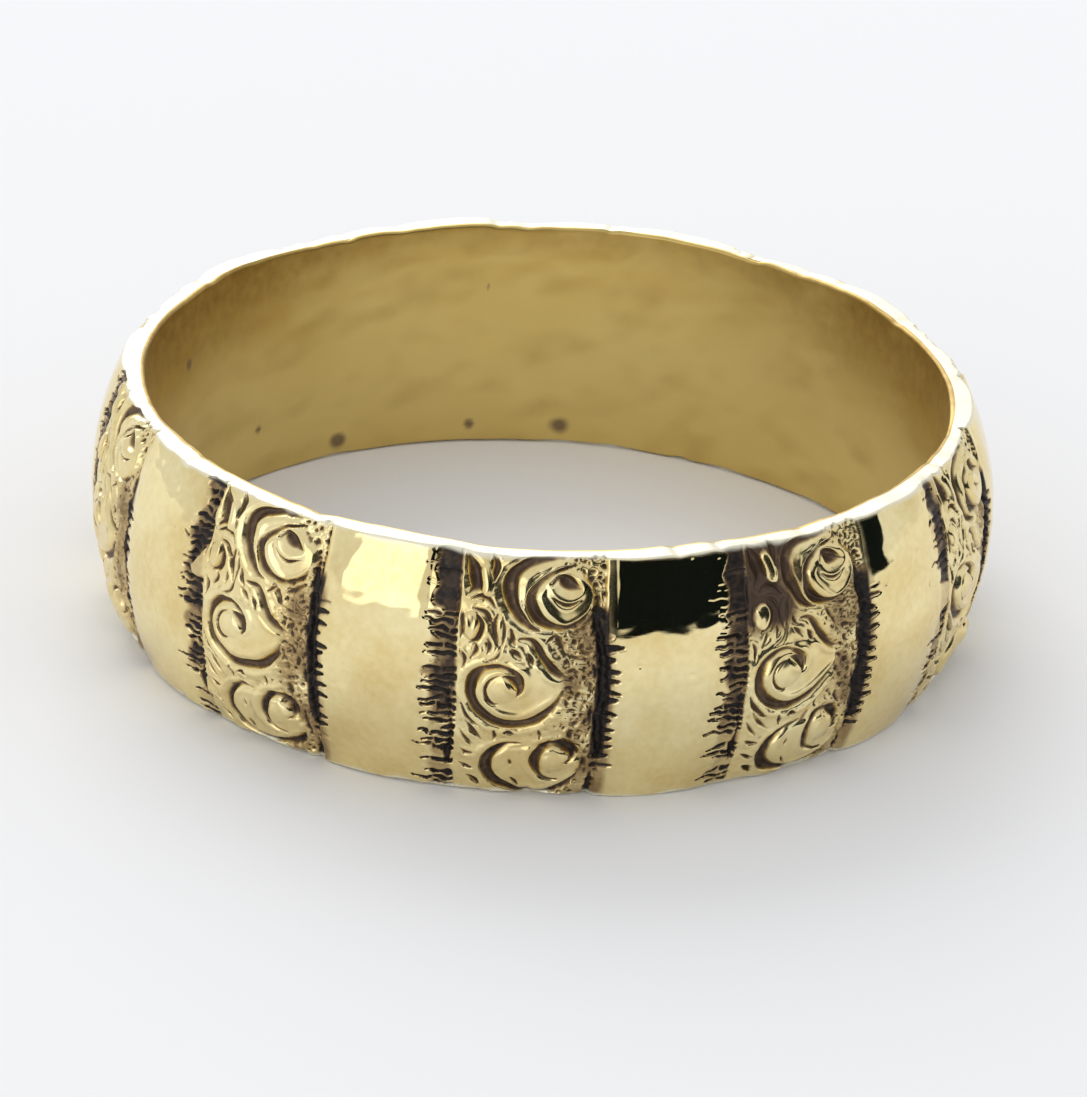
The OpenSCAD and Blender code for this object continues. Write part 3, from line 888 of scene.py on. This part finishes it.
def core_brass():
    """The sealed core: dull rolled brass with a soft mottle."""
    material = bpy.data.materials.new("core brass")
    material.use_nodes = True
    tree = material.node_tree
    shader = tree.nodes["Principled BSDF"]
    place = node(tree, "ShaderNodeTexCoord", (-900, 0))
    patches = node(tree, "ShaderNodeGroup", (-700, 0), node_tree=MOTTLING)
    patches.inputs["Scale"].default_value = 500
    tree.links.new(place.outputs["Object"], patches.inputs["Vector"])
    colour = mix_colour(tree, (-300, 100), patches.outputs["Patches"],
                        (0.50, 0.33, 0.11, 1), (0.40, 0.25, 0.08, 1))
    tree.links.new(colour, shader.inputs["Base Color"])
    shader.inputs["Metallic"].default_value = 1
    tree.links.new(ramp(tree, (-300, -100), patches.outputs["Grain"], 0.3, 0.7, 0.35, 0.5),
                   shader.inputs["Roughness"])
    return material


GOLD_LIGHT = (0.94, 0.82, 0.46, 1)
GOLD_DEEP = (0.78, 0.61, 0.27, 1)
# Pale rim colour: a painted highlight.
RIM_HIGHLIGHT_GOLD = (0.88, 0.84, 0.68, 1)
# Ochre: painted shade on the slopes beside the cuts and over the fields.
OCHRE_SHADE = (0.45, 0.32, 0.15, 1)
WORN_LIGHT = (0.80, 0.63, 0.25, 1)
WORN_DEEP = (0.68, 0.51, 0.17, 1)
# Brown of the lining's streaked stains and of its painted shade.
STAIN_SHADE_BROWN = (0.36, 0.23, 0.06, 1)
# Brown of tarnish and of painted shade on the outside, and of the lining's real spots.
TARNISH_AND_SHADE_BROWN = (0.125, 0.078, 0.048, 1)
# Black of tarnish in the borders and of the painted dark reflection on the ladder facets.
TARNISH_AND_REFLECTION_BLACK = (0.018, 0.014, 0.012, 1)
PLAIN_ROUGHNESS = 0.03
SATIN_ROUGHNESS = 0.24

SCRATCHES = fine_scratches()
MOTTLING = mottling()
CHASED_GOLD = chased_gold()
WORN_GOLD = worn_gold()

# ---------------------------------------------------------------- the band
for panel in range(PANELS):
    shell_sector(f"scroll_panel_{panel + 1}", panel, CHASED_START, CHASED_END,
                 CHASED_COLUMNS, CHASED_GOLD)
    shell_sector(f"plain_panel_{panel + 1}", panel, CHASED_END, CHASED_START + PITCH,
                 PLAIN_COLUMNS, CHASED_GOLD)
finger_lining(WORN_GOLD)
core = frame["nodes"]["brass_core"]
core.data.materials.clear()
core.data.materials.append(core_brass())


# ---------------------------------------------------------------- floor, light and camera
FLOOR_R = 1.2             # metres, well past the light's reach


def studio_floor():
    """A pale matt disc that the band stands on."""
    mesh = bpy.data.meshes.new("floor")
    angle = np.linspace(0, 2 * math.pi, 96, endpoint=False)
    rim = np.stack([FLOOR_R * np.cos(angle), FLOOR_R * np.sin(angle), 0 * angle], -1)
    mesh.from_pydata(rim.tolist(), [], [list(range(len(angle)))])
    floor = bpy.data.objects.new("floor", mesh)
    bpy.context.scene.collection.objects.link(floor)
    material = bpy.data.materials.new("pale floor")
    material.use_nodes = True
    tree = material.node_tree
    shader = tree.nodes["Principled BSDF"]
    shader.inputs["Base Color"].default_value = (0.90, 0.90, 0.905, 1)
    shader.inputs["Roughness"].default_value = 0.7
    shader.inputs["Specular IOR Level"].default_value = 0
    mesh.materials.append(material)


def dark_card():
    """A dark card for the polished metal to reflect: it lies on the floor in front of the
    band, from near to far, and stands up behind the camera to the height given in degrees."""
    near, far, high = 0.056, 0.30, 34.0
    turn = np.radians(np.linspace(-6, 88, 33))
    rows = [on_band(turn, near + 0 * turn, 0.0003), on_band(turn, far + 0 * turn, 0.0003),
            on_band(turn, far + 0 * turn, far * math.tan(math.radians(high)))]
    points = np.stack(rows, 1)
    index = np.arange(points[..., 0].size).reshape(points.shape[:2])
    mesh = bpy.data.meshes.new("card")
    mesh.from_pydata(points.reshape(-1, 3).tolist(), [], grid_quads(index).tolist())
    card = bpy.data.objects.new("card", mesh)
    bpy.context.scene.collection.objects.link(card)
    material = bpy.data.materials.new("dark card")
    material.use_nodes = True
    shader = material.node_tree.nodes["Principled BSDF"]
    shader.inputs["Base Color"].default_value = (0.006, 0.009, 0.011, 1)
    shader.inputs["Roughness"].default_value = 1
    shader.inputs["Specular IOR Level"].default_value = 0
    mesh.materials.append(material)
    card.visible_camera = False
    card.visible_diffuse = False
    card.visible_shadow = False


def soft_light(name, place, target, size, power):
    """A square area light at place, turned to face target."""
    data = bpy.data.lights.new(name, "AREA")
    data.size = size
    data.energy = power
    light = bpy.data.objects.new(name, data)
    bpy.context.scene.collection.objects.link(light)
    light.location = place
    light.rotation_euler = (Vector(target) - Vector(place)).to_track_quat("-Z", "Y").to_euler()


def white_room():
    """An even, slightly cool white all round."""
    world = bpy.data.worlds.new("white room")
    bpy.context.scene.world = world
    world.use_nodes = True
    background = world.node_tree.nodes["Background"]
    background.inputs["Color"].default_value = (0.97, 0.98, 1.0, 1)
    background.inputs["Strength"].default_value = 0.82


def set_camera():
    """The camera stands in front of the band, looks down on it and leans a little."""
    distance, elevation, lean = 0.1175, math.radians(25.12), math.radians(3.17)
    target = Vector((0.0001, -0.00097, 0.00178))
    back = Vector((0, -math.cos(elevation), math.sin(elevation)))
    right = Vector((1, 0, 0))
    up = back.cross(right)
    turned_right = math.cos(lean) * right + math.sin(lean) * up
    turned_up = math.cos(lean) * up - math.sin(lean) * right
    data = bpy.data.cameras.new("camera")
    data.lens = 178.4
    data.clip_start = 0.01
    camera = bpy.data.objects.new("camera", data)
    bpy.context.scene.collection.objects.link(camera)
    axes = Matrix((turned_right, turned_up, back)).transposed().to_4x4()
    camera.matrix_world = Matrix.Translation(target + back * distance) @ axes
    bpy.context.scene.camera = camera


studio_floor()
dark_card()
soft_light("back light", (-0.20, 0.55, 0.36), (0, 0, 0), 0.55, 2.1)
soft_light("window light", (-0.27, -0.38, 0.11), (0, 0, 0), 0.34, 0.27)
white_room()
set_camera()
bpy.context.scene.view_settings.view_transform = "Standard"
